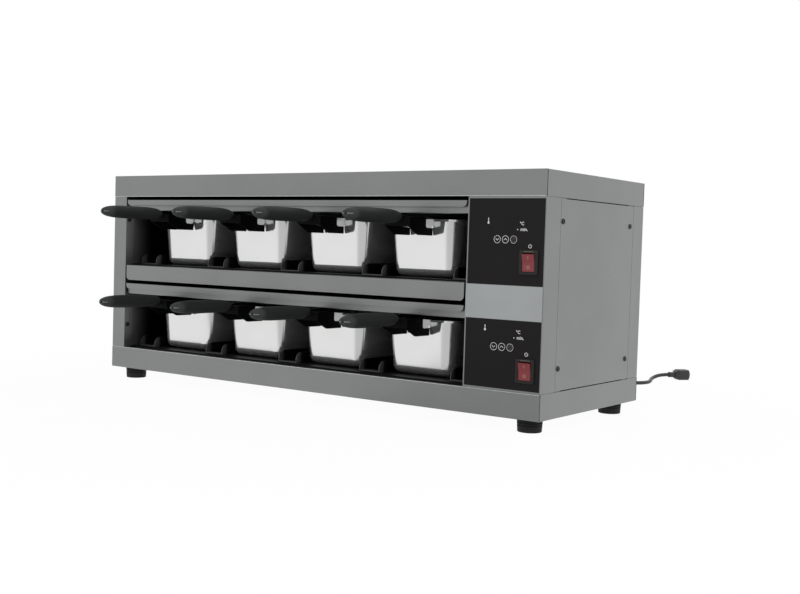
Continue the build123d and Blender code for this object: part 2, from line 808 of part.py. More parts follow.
def pan_body(inset, depth):
    """Add the pan's tapered body, its walls moved in by an inset."""
    base_corner = pan_corner_radius - inset - depth * math.tan(math.radians(pan_draft))
    rim_plane = Plane(origin=(0, pan_middle, pan_height), x_dir=(1, 0, 0), z_dir=(0, 0, -1))
    with BuildSketch(rim_plane) as mouth:
        RectangleRounded(body_width - 2 * inset, body_length - 2 * inset, pan_corner_radius - inset)
    extrude(mouth.sketch, amount=depth, taper=pan_draft)
    fillet(faces().sort_by(Axis.Z)[0].edges(), radius=min(pan_base_radius, base_corner) - inset)


with BuildPart() as pan_cavity:
    pan_body(pan_wall, pan_height - pan_wall)
with BuildPart() as pan_blank:
    pan_body(0, pan_height)
    rim_plane = Plane(origin=(0, pan_middle, pan_height))
    with BuildSketch(rim_plane):
        RectangleRounded(pan_width, pan_length, pan_flange_radius)
    extrude(amount=-pan_lip_height)
    with BuildSketch(rim_plane.offset(-pan_wall)):
        RectangleRounded(pan_width - 2 * pan_wall, pan_length - 2 * pan_wall, pan_flange_radius - pan_wall)
        RectangleRounded(body_width, body_length, pan_corner_radius, mode=Mode.SUBTRACT)
    extrude(amount=pan_wall - pan_lip_height, mode=Mode.SUBTRACT)
    add(pan_cavity.part, mode=Mode.SUBTRACT)
    for side in (-1, 1):
        with BuildSketch(Plane.YZ.offset(side * leg_spacing / 2)) as hook:
            with Locations(((hook_front + hook_rear) / 2, pan_height + (hook_rise - hook_drop) / 2)):
                Rectangle(hook_rear - hook_front, hook_rise + hook_drop)
            fillet(hook.vertices().group_by(Axis.Y)[0], radius=hook_radius)
        extrude(amount=hook_thickness / 2, both=True)

# Handles, each two legs that hold the hooks, a web between them and a tapered grip
leg_profile = [(-leg_front, leg_top), (hook_front - hook_fit, leg_top), (hook_front - hook_fit, -hook_drop),
               (leg_heel, -hook_drop), (leg_heel, -leg_drop), (leg_toe, -leg_drop), (-leg_front, -leg_chin)]
with BuildPart() as handle_blank:
    for side in (-1, 1):
        with BuildSketch(Plane.YZ.offset(side * leg_spacing / 2)):
            with BuildLine():
                Polyline(*[(y, pan_height + z) for y, z in leg_profile], close=True)
            make_face()
        extrude(amount=leg_thickness / 2, both=True)
    half_width = leg_spacing / 2
    block((-half_width, half_width), (-leg_front, web_rear), (pan_height - leg_chin, pan_height + leg_top))
    with BuildPart(mode=Mode.PRIVATE) as grip:
        for along, share in grip_sections:
            place = (0, -grip_root - along * grip_length, pan_height + grip_rise)
            with BuildSketch(Plane(origin=place, x_dir=(1, 0, 0), z_dir=(0, -1, 0))):
                Ellipse(grip_width / 2 * share, grip_height / 2 * share)
        loft()
    add(grip.part)

for row_name, row_floor in zip(row_names, row_floors):
    for index, x in enumerate(pan_columns, start=1):
        place = (x, front, floor + row_floor + pan_base)
        with BuildPart() as pan:
            with Locations(place):
                add(pan_blank.part)
        pieces[f"{row_name}_pan_{index}"] = pan
        with BuildPart() as handle:
            with Locations(place):
                add(handle_blank.part)
        pieces[f"{row_name}_handle_{index}"] = handle

# Cable gland in the rear panel
gland_reach = gland_nut_length + gland_sleeve_length
gland_base = (gland_x, rear, gland_z)
with BuildPart() as cable_gland:
    with BuildSketch(Plane(origin=gland_base, x_dir=(1, 0, 0), z_dir=(0, 0, 1))):
        with BuildLine():
            Polyline((0, -gland_thread_length), (gland_thread / 2, -gland_thread_length),
                     (gland_thread / 2, gland_nut_length), (gland_end_diameter / 2, gland_reach),
                     (0, gland_reach), close=True)
        make_face()
    revolve(axis=Axis(gland_base, (0, 1, 0)))
    with BuildSketch(Plane(origin=gland_base, z_dir=(0, 1, 0))):
        RegularPolygon(gland_nut_radius, 6)
    extrude(amount=gland_nut_length)
    with BuildSketch(Plane(origin=(gland_x, rear - sheet, gland_z), z_dir=(0, -1, 0))):
        RegularPolygon(gland_nut_radius, 6)
    extrude(amount=gland_locknut_length)
pieces["cable_gland"] = cable_gland

# Cord, in two free stretches with a coil between them, with X and Y from the gland's end
cord_exit = Vector(gland_x, rear + gland_reach, 0)
to_coil_route = [(0.0, 0.0, 82.5), (0.0, 26.2, 82.5), (-2.5, 55.2, 70.0), (-8.5, 81.2, 42.0),
                 (-18.5, 103.2, 16.0), (-35.5, 127.2, 4.0), (-67.5, 146.2, 4.0), (-107.5, 154.2, 4.0),
                 (-143.5, 154.2, 4.0)]
to_plug_route = [(-203.0, 216.2, 12.8), (-203.0, 246.2, 12.8), (-197.5, 281.2, 7.0),
                 (-177.5, 317.2, 4.0), (-145.5, 344.2, 4.0), (-109.5, 359.2, 4.0), (-91.5, 395.2, 4.0),
                 (-104.5, 438.2, 4.0), (-118.5, 472.2, 4.0), (-111.5, 502.2, 11.5), (-96.6, 521.0, 11.5)]


def cord_tube(name, route):
    """Make a tube along straight runs joined by arcs as large as the runs allow."""
    route = [cord_exit + Vector(*place) for place in route]
    runs = [end - start for start, end in zip(route, route[1:])]
    half_angles = [math.radians(one.get_angle(two)) / 2 for one, two in zip(runs, runs[1:])]
    radii = [cord_bend_share * min(one.length, two.length) / math.tan(half_angle)
             for one, two, half_angle in zip(runs, runs[1:], half_angles)]
    with BuildPart() as tube:
        with BuildLine():
            path = FilletPolyline(*route, radius=radii)
        with BuildSketch(Plane(origin=path @ 0, z_dir=path % 0)):
            Circle(cord_diameter / 2)
        sweep()
    length = path.length
    print(name, "radii", [round(radius, 1) for radius in radii], "length", round(length, 1),
          "volume ratio", round(tube.part.volume / (length * math.pi * cord_diameter**2 / 4), 5))
    return tube


def coil_point(turns):
    """Return the place on the coil's centre line after a number of turns."""
    climb = min(max((turns - coil_turns_in) / coil_climb, 0), 1)
    spiral = max(coil_turns_in - turns, 0) + max(turns - coil_turns_in - coil_climb, 0)
    radius = coil_outer_radius + coil_pitch * (spiral - coil_turns_in)
    angle = -math.pi / 2 - 2 * math.pi * turns
    centre = cord_exit + Vector(*coil_centre)
    return centre + Vector(radius * math.cos(angle), radius * math.sin(angle),
                           cord_diameter / 2 + coil_layer * climb**2 * (3 - 2 * climb))


def arcs_between(start, start_heading, end, end_heading):
    """Draw the two arcs that join two points and keep the heading at each."""
    chord = end - start
    along = chord.dot(start_heading + end_heading)
    spread = 2 * (1 - start_heading.dot(end_heading))
    reach = (math.sqrt(along**2 + spread * chord.dot(chord)) - along) / spread
    middle = (start + end + (start_heading - end_heading) * reach) * 0.5
    first_arc = TangentArc(start, middle, tangent=start_heading)
    TangentArc(middle, end, tangent=first_arc % 1)


quarters = round(4 * (coil_turns_in + coil_climb + coil_turns_out))
coil_places = [coil_point(index / 4) for index in range(quarters + 1)]
coil_headings = [(coil_point(index / 4 + 0.01) - coil_point(index / 4 - 0.01)).normalized()
                 for index in range(quarters + 1)]
coil_headings[0] = Vector(-1, 0, 0)
coil_headings[-1] = Vector(0, 1, 0)
with BuildPart() as cord_coil:
    with BuildLine() as coil_path:
        Line(coil_places[0] - coil_headings[0] * coil_lead, coil_places[0])
        for index in range(quarters):
            arcs_between(coil_places[index], coil_headings[index],
                         coil_places[index + 1], coil_headings[index + 1])
        Line(coil_places[-1], coil_places[-1] + coil_headings[-1] * coil_lead)
    with BuildSketch(Plane(origin=coil_places[0] - coil_headings[0] * coil_lead, z_dir=coil_headings[0])):
        Circle(cord_diameter / 2)
    sweep()
coil_wire = coil_path.wires()[0]
samples = 600
coil_samples = [coil_wire @ (index / samples) for index in range(samples + 1)]
apart = math.ceil(4 * cord_diameter / coil_wire.length * samples)
least_gap = min((coil_samples[one] - coil_samples[two]).length
                for one in range(samples + 1) for two in range(one + apart, samples + 1)) - cord_diameter
print("cord_coil length", round(coil_wire.length, 1), "least gap", round(least_gap, 2),
      "volume ratio", round(cord_coil.part.volume / (coil_wire.length * math.pi * cord_diameter**2 / 4), 5))
pieces["cord_to_coil"] = cord_tube("cord_to_coil", to_coil_route)
pieces["cord_coil"] = cord_coil
pieces["cord_to_plug"] = cord_tube("cord_to_plug", to_plug_route)


# Plug at the cord's end, with its pins square to the cord
plug_axis = Vector(*plug_heading).normalized()


def plug_plane(distance):
    """Return the plane across the plug at a distance from the cord's end."""
    return Plane(origin=cord_exit + Vector(*plug_start) + plug_axis * distance,
                 x_dir=Vector(0, 0, 1).cross(plug_axis), z_dir=plug_axis)


plug_length = plug_relief_length + plug_shoulder_length + plug_body_length + plug_nose_length
plug_sections = [
    (plug_relief_length, plug_shoulder_width, plug_shoulder_height),
    (plug_relief_length + plug_shoulder_length, plug_width, plug_height),
    (plug_length - plug_nose_length, plug_width, plug_height),
    (plug_length, plug_width - 2 * plug_bevel, plug_height - 2 * plug_bevel)]
with BuildPart() as plug:
    for distance, width, height in plug_sections:
        with BuildSketch(plug_plane(distance)):
            RectangleRounded(width, height, plug_corner_radius)
    loft(ruled=True)
    with BuildSketch(plug_plane(0)):
        Circle(plug_relief_diameter / 2)
    extrude(amount=plug_relief_length)
pieces["plug"] = plug

across_plug = Vector(0, 0, 1).cross(plug_axis)
pin_plane = Plane(origin=plug_plane(blade_setback).origin + across_plug * plug_width / 2,
                  x_dir=plug_axis, z_dir=across_plug)
with BuildPart() as plug_pins:
    with BuildSketch(pin_plane):
        with Locations((0, -blade_spacing / 2), (0, blade_spacing / 2)):
            Rectangle(blade_height, blade_width)
    extrude(amount=blade_length)
    with BuildSketch(pin_plane):
        with Locations((ground_pin_setback, 0)):
            Circle(ground_pin_diameter / 2)
    extrude(amount=ground_pin_length)
pieces["plug_pins"] = plug_pins

for name, piece in pieces.items():
    piece.part.label = name
    export_step(piece.part, f"parts/{name}.step")
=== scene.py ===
"""Looks, cord, light and camera of the heated holding cabinet."""
import bpy
import bmesh
import json
import math
from mathutils import Matrix, Vector
from mathutils.bvhtree import BVHTree


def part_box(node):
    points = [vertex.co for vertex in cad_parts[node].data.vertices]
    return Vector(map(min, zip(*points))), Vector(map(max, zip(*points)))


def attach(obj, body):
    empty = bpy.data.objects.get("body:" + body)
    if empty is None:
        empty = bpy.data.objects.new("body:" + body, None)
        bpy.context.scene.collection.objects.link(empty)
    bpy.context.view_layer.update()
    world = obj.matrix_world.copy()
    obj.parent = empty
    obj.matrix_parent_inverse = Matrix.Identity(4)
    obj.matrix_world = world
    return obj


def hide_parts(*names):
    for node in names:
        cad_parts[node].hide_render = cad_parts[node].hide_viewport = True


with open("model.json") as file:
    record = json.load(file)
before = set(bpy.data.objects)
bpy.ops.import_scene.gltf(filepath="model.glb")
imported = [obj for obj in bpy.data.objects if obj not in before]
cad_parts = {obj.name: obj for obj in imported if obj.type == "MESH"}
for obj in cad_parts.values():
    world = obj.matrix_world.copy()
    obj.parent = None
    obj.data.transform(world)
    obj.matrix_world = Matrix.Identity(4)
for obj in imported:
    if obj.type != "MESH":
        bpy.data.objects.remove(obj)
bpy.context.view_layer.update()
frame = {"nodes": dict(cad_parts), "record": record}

MM = 0.001
nodes = frame["nodes"]
rows = ["lower", "upper"]
keys = ["down", "up", "timer"]
scene = bpy.context.scene
scene.view_settings.view_transform = "Standard"

# Camera
camera_place = (1.3192, -1.6100, 0.2871)
azimuth, elevation, roll = (math.radians(value) for value in (35.8521, 2.6083, 1.7575))
ahead = Vector((-math.sin(azimuth) * math.cos(elevation),
                math.cos(azimuth) * math.cos(elevation),
                -math.sin(elevation)))
level = ahead.cross(Vector((0, 0, 1))).normalized()
upward = level.cross(ahead)
across = math.cos(roll) * level + math.sin(roll) * upward
above = math.cos(roll) * upward - math.sin(roll) * level
lens = bpy.data.cameras.new("camera")
lens.lens = 50.0
lens.sensor_width = 36.0
lens.clip_start = 0.01
camera = bpy.data.objects.new("camera", lens)
camera.matrix_world = (Matrix.Translation(camera_place)
                       @ Matrix((across, above, -ahead)).transposed().to_4x4())
scene.collection.objects.link(camera)
scene.camera = camera

# Finishes
white = (1, 1, 1, 1)
vector_math = "ShaderNodeVectorMath"
noise_middle = (0.3, 0.7)
cloud_scale = 9
relief_depth = 0.05 * MM
finishes = {}


def linear(red, green, blue):
    """Turn an sRGB colour of 0 to 255 into a linear one."""
    parts = []
    for value in (red / 255, green / 255, blue / 255):
        parts.append(value / 12.92 if value < 0.04045 else ((value + 0.055) / 1.055) ** 2.4)
    return (*parts, 1)


def shade(colour, amount):
    """Multiply a linear colour."""
    return tuple(min(1.0, part * amount) for part in colour[:3]) + (1,)


def feed(tree, value, socket):
    """Link a node's output to a socket, or set the socket to a plain value."""
    if isinstance(value, bpy.types.NodeSocket):
        tree.links.new(value, socket)
    else:
        socket.default_value = value


def calculate(tree, operation, *values, kind="ShaderNodeMath", output="Value"):
    """Give a math node's result over plain values and other nodes' outputs."""
    node = tree.nodes.new(kind)
    node.operation = operation
    for value, socket in zip(values, node.inputs):
        feed(tree, value, socket)
    return node.outputs[output]


def map_range(tree, value, start, end, low=0.0, high=1.0, curve="LINEAR"):
    """Map the range from start to end to that from low to high."""
    node = tree.nodes.new("ShaderNodeMapRange")
    node.interpolation_type = curve
    node.inputs["From Min"].default_value = start
    node.inputs["From Max"].default_value = end
    node.inputs["To Min"].default_value = low
    node.inputs["To Max"].default_value = high
    feed(tree, value, node.inputs["Value"])
    return node.outputs["Result"]


def component(tree, vector, axis):
    """Give one component of a vector."""
    node = tree.nodes.new("ShaderNodeSeparateXYZ")
    feed(tree, vector, node.inputs["Vector"])
    return node.outputs[axis]


def blend(tree, share, one, two, kind="RGBA"):
    """Mix two colours or, with the kind FLOAT, two values."""
    mix = tree.nodes.new("ShaderNodeMix")
    mix.data_type = kind
    feed(tree, share, mix.inputs["Factor"])
    feed(tree, one, mix.inputs["A"])
    feed(tree, two, mix.inputs["B"])
    return mix.outputs["Result"]


def mix_shaders(tree, share, one, two):
    """Mix two shaders."""
    mix = tree.nodes.new("ShaderNodeMixShader")
    for value, socket in zip((share, one, two), mix.inputs):
        feed(tree, value, socket)
    return mix.outputs["Shader"]


def noise(tree, coordinates, scale, stretch=(1, 1, 1), detail=3.0):
    """Give a noise over stretched coordinates, in cycles per metre."""
    mapping = tree.nodes.new("ShaderNodeMapping")
    mapping.inputs["Scale"].default_value = stretch
    feed(tree, coordinates, mapping.inputs["Vector"])
    texture = tree.nodes.new("ShaderNodeTexNoise")
    texture.inputs["Scale"].default_value = scale
    texture.inputs["Detail"].default_value = detail
    feed(tree, mapping.outputs["Vector"], texture.inputs["Vector"])
    return texture.outputs["Fac"]


def spread(tree, value, low, high):
    """Map the middle of a noise's range to a range of values."""
    return map_range(tree, value, *noise_middle, low, high)


def finish(name, colour, roughness, metallic=0.0, grain=900, stretch=(1, 1, 1), tone=0.1,
           rough_spread=0.06, bump=0.15, cloud_tone=0.06, turn_on_sides=False, zones=(),
           **sockets):
    """Make a finish of one colour with fine grain, broad clouding and a matching relief.

    The grain is in cycles per metre. The tones say how far grain and clouds change the colour,
    and rough_spread how far they change the roughness. With turn_on_sides a brushed grain
    runs lengthwise on the left and right sides too. A zone is another colour, the axis along
    which it comes in, and where it starts and is full. The shader's other sockets go by name.
    """
    material = bpy.data.materials.new(name)
    material.use_nodes = True
    tree = material.node_tree
    shader = tree.nodes["Principled BSDF"]
    shader.inputs["Metallic"].default_value = metallic
    for socket, value in sockets.items():
        shader.inputs[socket.replace("_", " ")].default_value = value
    place = tree.nodes.new("ShaderNodeTexCoord").outputs["Object"]
    fine = noise(tree, place, grain, stretch)
    if turn_on_sides:
        turned = noise(tree, place, grain, (stretch[1], stretch[0], stretch[2]))
        normal = tree.nodes.new("ShaderNodeNewGeometry").outputs["Normal"]
        sideways = calculate(tree, "ABSOLUTE", component(tree, normal, "X"))
        fine = blend(tree, sideways, fine, turned, "FLOAT")
    broad = noise(tree, place, cloud_scale, detail=4.0)
    grained, clouded = (
        blend(tree, spread(tree, fine, 0, 1),
              shade(colour, middle - tone), shade(colour, middle + tone))
        for middle in (1, 1 - cloud_tone))
    surface = blend(tree, spread(tree, broad, 0, 1), grained, clouded)
    for zone_colour, axis, start, end in zones:
        share = map_range(tree, component(tree, place, axis), start, end, curve="SMOOTHSTEP")
        surface = blend(tree, share, surface, zone_colour)
    feed(tree, surface, shader.inputs["Base Color"])
    rough = calculate(tree, "ADD",
                      spread(tree, fine, roughness - rough_spread, roughness + rough_spread),
                      spread(tree, broad, -rough_spread / 2, rough_spread / 2))
    feed(tree, rough, shader.inputs["Roughness"])
    relief = tree.nodes.new("ShaderNodeBump")
    relief.inputs["Strength"].default_value = bump
    relief.inputs["Distance"].default_value = relief_depth
    feed(tree, fine, relief.inputs["Height"])
    feed(tree, relief.outputs["Normal"], shader.inputs["Normal"])
    finishes[name] = material


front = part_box("top_cap")[0].y


def depth_zone(colour, start, end):
    """Give a zone of painted shade, or of a painted highlight on the handles' tips, that comes in
    from front to rear, in millimetres behind the cap's front.
    """
    return colour, "Y", front + start * MM, front + end * MM


brushed = (0.04, 1, 1)
steel = linear(135, 136, 136)
# A near-black tone painted into the cavity as shade, behind the fronts of shelves, liners and
# guides.
cavity_shade = linear(9, 9, 9)
# A lighter tone painted on the handles' rounded tips as a highlight.
grip_tip_highlight = linear(60, 63, 62)
# A near-black tone painted on the handles' necks as shade inside the cavity.
grip_neck_shade = linear(2, 2, 2)

finish("outer_steel", steel, 0.36, 0.9, 1400, brushed, tone=0.06, cloud_tone=0.03,
       turn_on_sides=True)
# The shelves, hoods and plates darken from 8 to 30 mm behind the cap's front: painted shade
# inside the cavity.
finish("shelf_steel", steel, 0.36, 0.9, 1400, brushed, tone=0.06, cloud_tone=0.03,
       zones=[depth_zone(cavity_shade, 8, 30)])
# The left liner darkens from 18 to 75 mm behind the cap's front: painted shade inside the cavity.
finish("liner_steel", shade(steel, 0.8), 0.4, 0.85, 1100, brushed,
       zones=[depth_zone(cavity_shade, 18, 75)])
# The guides darken from 44 to 56 mm behind the cap's front, behind their noses: painted shade
# between the pans.
finish("guide_steel", linear(98, 98, 97), 0.45, 0.6, 1100, brushed,
       zones=[depth_zone(cavity_shade, 44, 56)])
# The inner steel's near-black tone is painted shade: it darkens the cavity's decks and rear
# liner.
finish("inner_steel", linear(26, 26, 26), 0.45, 0.5, 1100, brushed, Specular_IOR_Level=0.1)
# A light steel tone for the painted highlights along the caps' open edges.
finish("highlight_steel", linear(206, 208, 208), 0.3, 0.6, 1400, brushed, tone=0.04)
finish("pan_steel", linear(231, 232, 231), 0.12, 0.84, 700, tone=0.02, rough_spread=0.03,
       bump=0.03, cloud_tone=0.03)
finish("screw_steel", linear(58, 58, 58), 0.3, 1.0, 2500)
finish("element_sheath", linear(58, 50, 44), 0.55, 0.7, 1800, tone=0.2)
finish("pin_brass", linear(196, 180, 130), 0.25, 1.0, 2200, brushed)
finish("foot_rubber", linear(20, 20, 20), 0.62, 0.0, 1500, bump=0.4, Specular_IOR_Level=0.3)
finish("cord_rubber", linear(38, 38, 38), 0.5, 0.0, 1600, bump=0.35)
finish("overlay_film", linear(27, 25, 26), 0.42, 0.0, 3000, bump=0.25, tone=0.06,
       Specular_IOR_Level=0.12)
finish("key_film", linear(27, 26, 27), 0.38, 0.0, 3000, bump=0.2, Specular_IOR_Level=0.12)
finish("label_foil", linear(165, 169, 170), 0.4, 0.75, 1600, brushed, tone=0.05)
finish("switch_plastic", linear(34, 31, 28), 0.45, 0.0, 2600, bump=0.3,
       Specular_IOR_Level=0.25)
finish("rocker_plastic", linear(124, 38, 44), 0.3, 0.0, 1200, bump=0.08,
       Specular_IOR_Level=0.5, Coat_Weight=0.15)
# The handles' tips are lighter from 138 to 150 mm in front of the cap: a painted highlight where
# the rounded ends face the light.
finish("handle_plastic", linear(42, 44, 43), 0.5, 0.0, 2200, bump=0.35,
       Specular_IOR_Level=0.04,
       # The necks turn near black from 21 to 27 mm in front of the cap: painted shade inside the
       # cavity.
       zones=[depth_zone(grip_tip_highlight, -138, -150), depth_zone(grip_neck_shade, -27, -21)])
finish("board_plastic", linear(26, 62, 44), 0.5, 0.0, 1500)
finish("terminal_plastic", linear(196, 194, 186), 0.5, 0.0, 1500)
finish("gland_plastic", linear(30, 30, 30), 0.5, 0.0, 2000, bump=0.3)
finish("plug_plastic", linear(46, 46, 46), 0.5, 0.0, 1800, bump=0.35)
finish("print_white", linear(214, 214, 212), 0.5, 0.0, 4000, tone=0.04, bump=0.1)
finish("print_grey", linear(120, 120, 118), 0.5, 0.0, 4000, tone=0.04, bump=0.1)
finish("print_cream", linear(178, 140, 112), 0.5, 0.0, 4000, tone=0.04, bump=0.1)
# A light grey for the painted highlights beside the holes in the handles' tips.
finish("tip_line_highlight", linear(150, 152, 152), 0.5, 0.0, 3000, tone=0.08, bump=0.1)
# A pale tone for the painted highlight along the switch bezels' top ledge.
finish("ledge_highlight_grey", linear(92, 88, 78), 0.4, 0.0, 3000, tone=0.08, bump=0.2)
# A dark tone for the caps' corner seams, and for the painted shade of the holes in the handles'
# tips.
finish("seam_and_hole_shade", linear(16, 16, 16), 0.7, 0.0, 3000, tone=0.2, bump=0.2,
       Specular_IOR_Level=0.1)

node_finishes = {part["node"]: part["material_slot"] for part in frame["record"]["subparts"]}
node_finishes["left_liner"] = "liner_steel"
node_finishes["pan_guides"] = "guide_steel"
for row in rows:
    for part in ("shelf", "heater_hood", "heater_plate"):
        node_finishes[f"{row}_{part}"] = "shelf_steel"
for name, node in nodes.items():
    node.data.materials.clear()
    node.data.materials.append(finishes[node_finishes[name]])


# Cord, in millimetres from the point on the floor under its exit
cord_exit = Vector((429.5, 297.8, 0))
cord_radius = 4.0
coil_centre = (-151.5, 208.2)
coil_radius = 54.0
coil_spacing = 10.0
layer_turns = 2.0
climb_turns = 0.5
layer_rise = 8.8
coil_points = 69
points_per_turn = 16


def coil_point(turns):
    """Give the coil's point after some turns: inwards, up one layer, and outwards again."""
    climb = min(max((turns - layer_turns) / climb_turns, 0.0), 1.0)
    turns_out = max(layer_turns - turns, 0.0) + max(turns - layer_turns - climb_turns, 0.0)
    radius = coil_radius + coil_spacing * (turns_out - layer_turns)
    angle = -math.pi / 2 - 2 * math.pi * turns
    return (coil_centre[0] + radius * math.cos(angle),
            coil_centre[1] + radius * math.sin(angle),
            cord_radius + layer_rise * climb**2 * (3 - 2 * climb))


to_coil = [(0, 0, 82.5), (0, 26.2, 82.5), (-2.5, 55.2, 70), (-8.5, 81.2, 42),
           (-18.5, 103.2, 16), (-35.5, 127.2, 4), (-67.5, 146.2, 4), (-107.5, 154.2, 4),
           (-143.5, 154.2, 4)]
to_plug = [(-203, 216.2, 12.8), (-203, 246.2, 12.8), (-197.5, 281.2, 7), (-177.5, 317.2, 4),
           (-145.5, 344.2, 4), (-109.5, 359.2, 4), (-91.5, 395.2, 4), (-104.5, 438.2, 4),
           (-118.5, 472.2, 4), (-111.5, 502.2, 11.5), (-96.6, 521, 11.5)]
coil = [coil_point(index / points_per_turn) for index in range(coil_points)]
route = to_coil + coil + to_plug
line = bpy.data.curves.new("supply_cord", "CURVE")
line.dimensions = "3D"
line.bevel_depth = cord_radius * MM
line.bevel_resolution = 6
line.resolution_u = 8
line.use_fill_caps = True
spline = line.splines.new("NURBS")
spline.points.add(len(route) - 1)
for point, place in zip(spline.points, route):
    point.co = (*((cord_exit + Vector(place)) * MM), 1.0)
spline.order_u = 3
spline.use_endpoint_u = True
line.materials.append(finishes["cord_rubber"])
supply_cord = bpy.data.objects.new("supply_cord", line)
scene.collection.objects.link(supply_cord)
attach(supply_cord, "cabinet")
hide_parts("cord_to_coil", "cord_coil", "cord_to_plug")


# Printed and moulded marks, in millimetres
ray_start = 900
mark_thickness = 0.06
letter_boldness = 0.12


def stroke(points, width, closed=False):
    """Give the quads of a line of even width through points of a plane."""
    points = [Vector(point) for point in points]
    count = len(points)
    sides = []
    for index, point in enumerate(points):
        before = points[index - 1] if closed or index else point
        after = points[(index + 1) % count] if closed or index < count - 1 else point
        one = (point - before if before != point else after - point).normalized()
        two = (after - point).normalized() if after != point else one
        middle = (one + two).normalized()
        normal = Vector((-middle.y, middle.x)) * (width / 2 / max(middle.dot(one), 0.5))
        sides.append((point + normal, point - normal))
    pairs = list(zip(sides, sides[1:])) + ([(sides[-1], sides[0])] if closed else [])
    return [[one[0], one[1], two[1], two[0]] for one, two in pairs]


def arc(centre, radius, start=0.0, end=360.0, steps=40):
    """Give points along an arc, between two angles in degrees."""
    span = [math.radians(start + (end - start) * step / steps) for step in range(steps + 1)]
    return [(centre[0] + radius * math.cos(angle), centre[1] + radius * math.sin(angle))
            for angle in span]


def circle(centre, radius, width):
    """Give the quads of a drawn circle."""
    return stroke(arc(centre, radius)[:-1], width, closed=True)


def disc(centre, radius):
    """Give the one face of a disc."""
    return [[Vector(point) for point in arc(centre, radius)[:-1]]]


def lettering(text, centre, size):
    """Give the faces of a short text about a centre."""
    words = bpy.data.curves.new("words", "FONT")
    words.body = text
    words.size = size
    words.offset = letter_boldness
    words.align_x = "CENTER"
    words.align_y = "CENTER"
    carrier = bpy.data.objects.new("words", words)
    scene.collection.objects.link(carrier)
    graph = bpy.context.evaluated_depsgraph_get()
    mesh = bpy.data.meshes.new_from_object(carrier.evaluated_get(graph))
    corners = [Vector((vertex.co.x + centre[0], vertex.co.y + centre[1]))
               for vertex in mesh.vertices]
    faces = [[corners[index] for index in face.vertices] for face in mesh.polygons]
    bpy.data.objects.remove(carrier)
    bpy.data.meshes.remove(mesh)
    return faces


def mark(name, faces, target, body, material, toward=(0, 1, 0), lift=0.04, reach=None):
    """Lay flat faces on a node's surface along a direction, and give them a thickness.

    The faces are drawn in the front plane for the direction Y, and in the side plane for X. A
    reach puts them that far from the middle plane instead, where the surface has a slit.
    """
    toward = Vector(toward)
    surface = BVHTree.FromObject(nodes[target], bpy.context.evaluated_depsgraph_get())
    work = bmesh.new()
    for face in faces:
        corners = []
        for u, v in face:
            flat = Vector((u, 0, v)) if toward.y else Vector((0, u, v))
            if reach:
                hit = (flat - toward * reach) * MM
            else:
                hit = surface.ray_cast((flat - toward * ray_start) * MM, toward)[0]
            corners.append(work.verts.new(hit - toward * lift * MM))
        if len(set(tuple(corner.co) for corner in corners)) > 2:
            work.faces.new(corners)
    bmesh.ops.remove_doubles(work, verts=work.verts, dist=1e-6)
    bmesh.ops.recalc_face_normals(work, faces=work.faces)
    for face in work.faces:
        if face.normal.dot(toward) > 0:
            face.normal_flip()
    mesh = bpy.data.meshes.new(name)
    work.to_mesh(mesh)
    work.free()
    mesh.materials.append(finishes[material])
    piece = bpy.data.objects.new(name, mesh)
    scene.collection.objects.link(piece)
    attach(piece, body)
    solid = piece.modifiers.new("thickness", "SOLIDIFY")
    solid.thickness = mark_thickness * MM
    solid.offset = -1


sign_width = 0.85

# The overlays' signs, with heights from the middle of the display or of the power sign
display_z = {"lower": 162.5, "upper": 331.5}
thermometer_x = 397.8
stem_ends, stem_width = (-1.5, 5.2), 1.3
bulb_z, bulb_radius = -2.6, 1.9
degrees_x, degrees_z, degrees_size = 458.5, -3.6, 7.2
minutes_x, minutes_z, minutes_size = 462.5, -12.4, 7.6
dot_x, dot_z, dot_radius = 451.2, -12.6, 0.95
power_z = {"lower": 125.5, "upper": 293.2}
power_x, power_radius = 474.2, 2.7
power_arc = (125, 415)
power_line_ends = (0.4, 3.6)

# The keys' signs
key_z = {"lower": 134.1, "upper": 303.1}
key_x = {"down": 415.2, "up": 430.05, "timer": 444.9}
key_ring_radius, key_ring_width = 5.8, 0.7
arrow_half_width, arrow_end, arrow_tip = 2.9, 1.2, 1.5
timer_ring_radius, timer_ring_width = 5.75, 0.55
clock_radius, clock_hand_height, clock_hand_width, clock_line = 2.9, 1.7, 1.2, 0.35

# The switches' signs, with heights from the middle of the rocker
switch_z = {"lower": 99.1, "upper": 268.1}
switch_x, switch_line_width = 472.9, 0.8
on_line_ends = (5.2, 9.6)
off_ring_z, off_ring_radius, off_ring_width = -7.4, 2.2, 0.7
# A light strip along the bezel's top ledge: a painted highlight.
ledge_highlight_z, ledge_highlight_left, ledge_highlight_right, ledge_highlight_width = 16.8, 464.5, 482.5, 1.1

# The painted highlights and painted shade on the handles' tips, from the middle
tip_drop = 12.0
line_highlight_start, line_highlight_step, line_highlight_points, line_highlight_width = 3.2, 0.65, 13, 1.0
eye_radius, eye_lift = 1.5, 0.01


def overlay_signs(display, power):
    """Give the thermometer, the power sign, and the units at the display."""
    return (stroke([(thermometer_x, display + z) for z in stem_ends], stem_width)
            + disc((thermometer_x, display + bulb_z), bulb_radius)
            + stroke(arc((power_x, power), power_radius, *power_arc), sign_width)
            + stroke([(power_x, power + z) for z in power_line_ends], sign_width)
            + lettering("°C", (degrees_x, display + degrees_z), degrees_size)
            + lettering("min.", (minutes_x, display + minutes_z), minutes_size)
            + disc((dot_x, display + dot_z), dot_radius))


